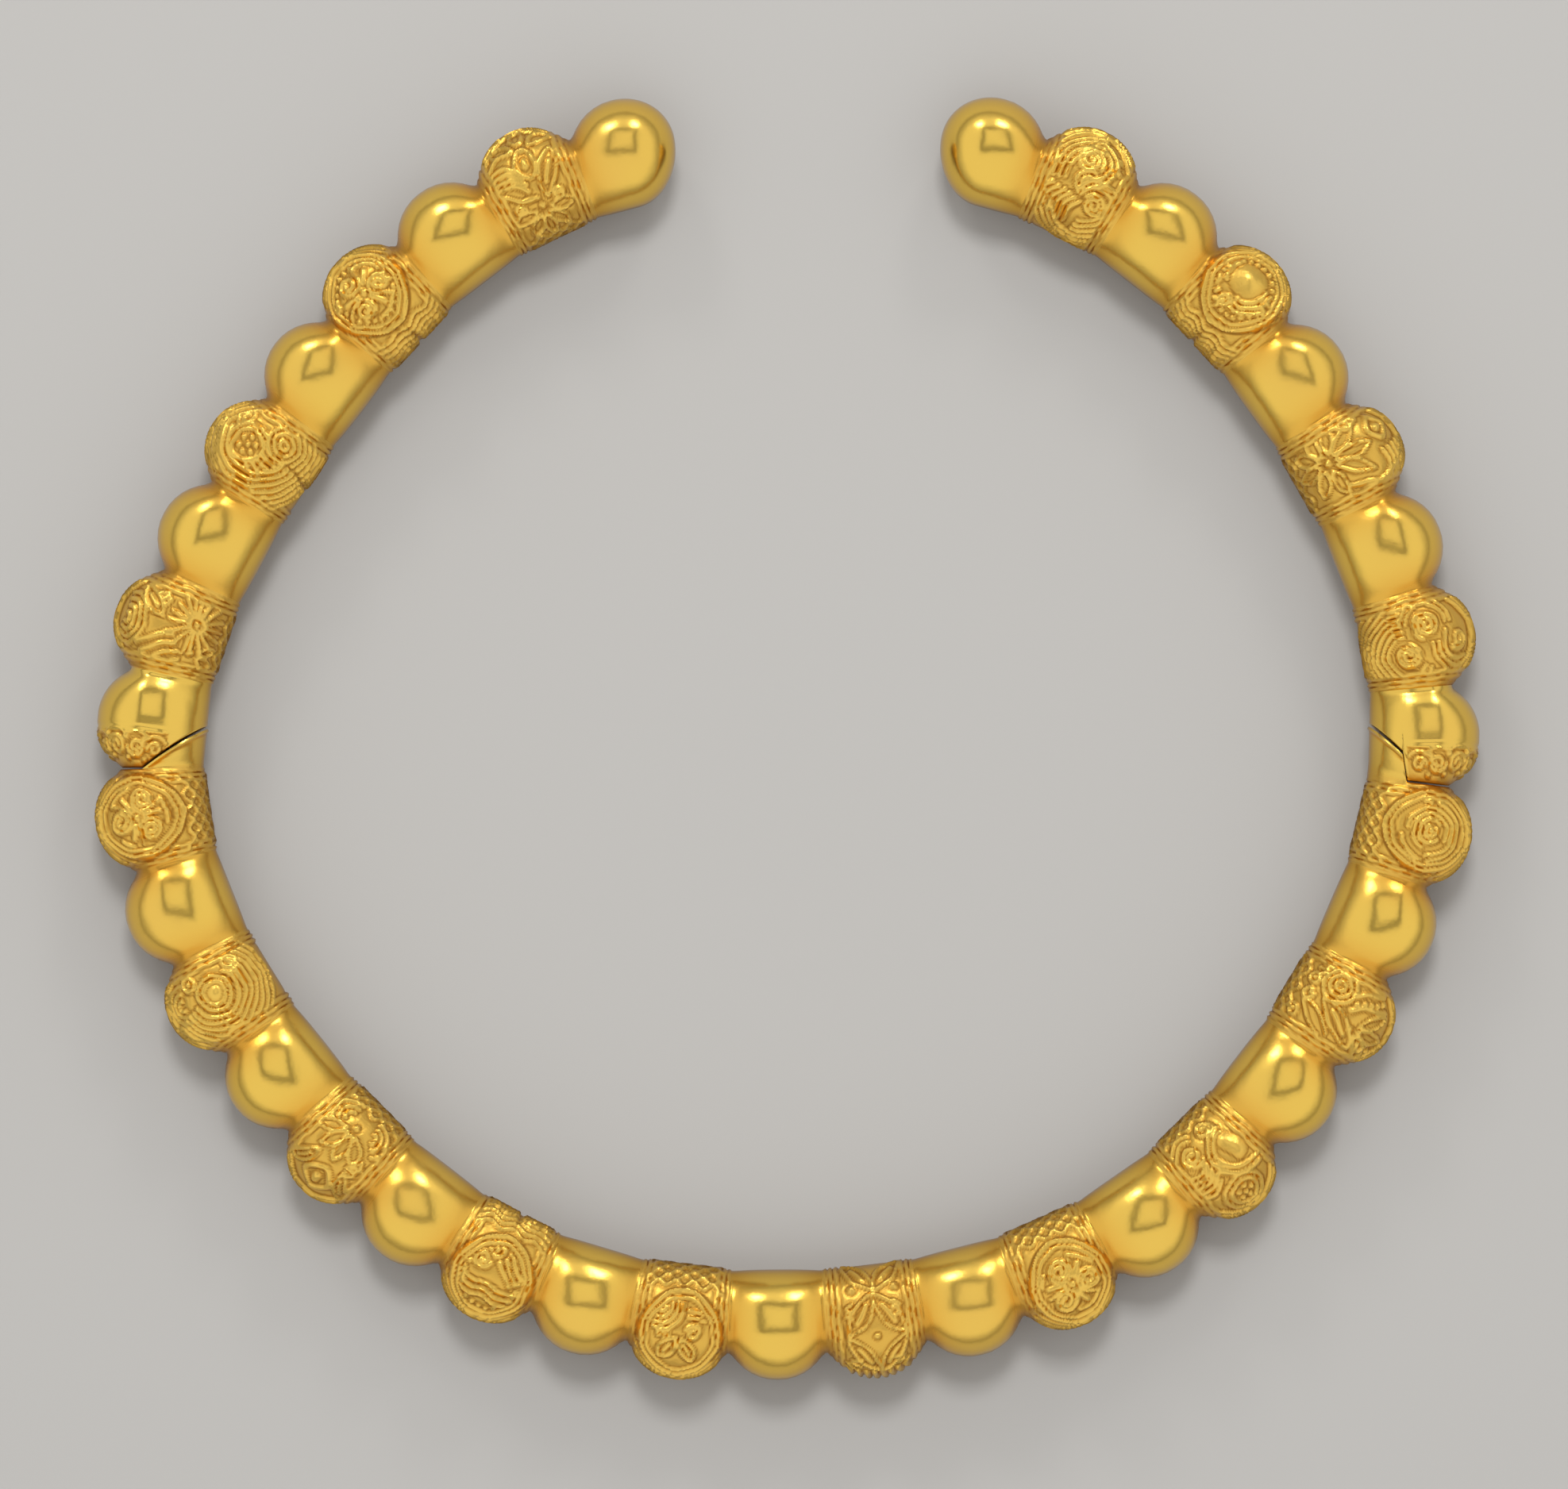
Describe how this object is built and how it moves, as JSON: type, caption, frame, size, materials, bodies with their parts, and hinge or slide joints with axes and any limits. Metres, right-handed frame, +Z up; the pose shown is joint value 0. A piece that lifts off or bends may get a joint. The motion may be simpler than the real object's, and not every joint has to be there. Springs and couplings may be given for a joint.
{
  "type": "gold torc",
  "caption": "Open neck ring of hollow sheet gold raised into a row of plain and chased round beads, parted by slanted joints.",
  "frame": {"origin": "middle of the underside of the ring's box, on the surface it lies on", "axes": "+X across the ring to its right arm, +Y towards the opening between the terminals, +Z up"},
  "size_m": [0.1494, 0.1388, 0.0119],
  "materials": {
    "sheet_gold": "high-carat sheet gold, burnished on the plain beads and softly matt with warmer recesses on the chased ones"
  },
  "bodies": {
    "root": {"back_arc": "sheet_gold", "left_arm": "sheet_gold", "right_arm": "sheet_gold"}
  },
  "joints": []
}
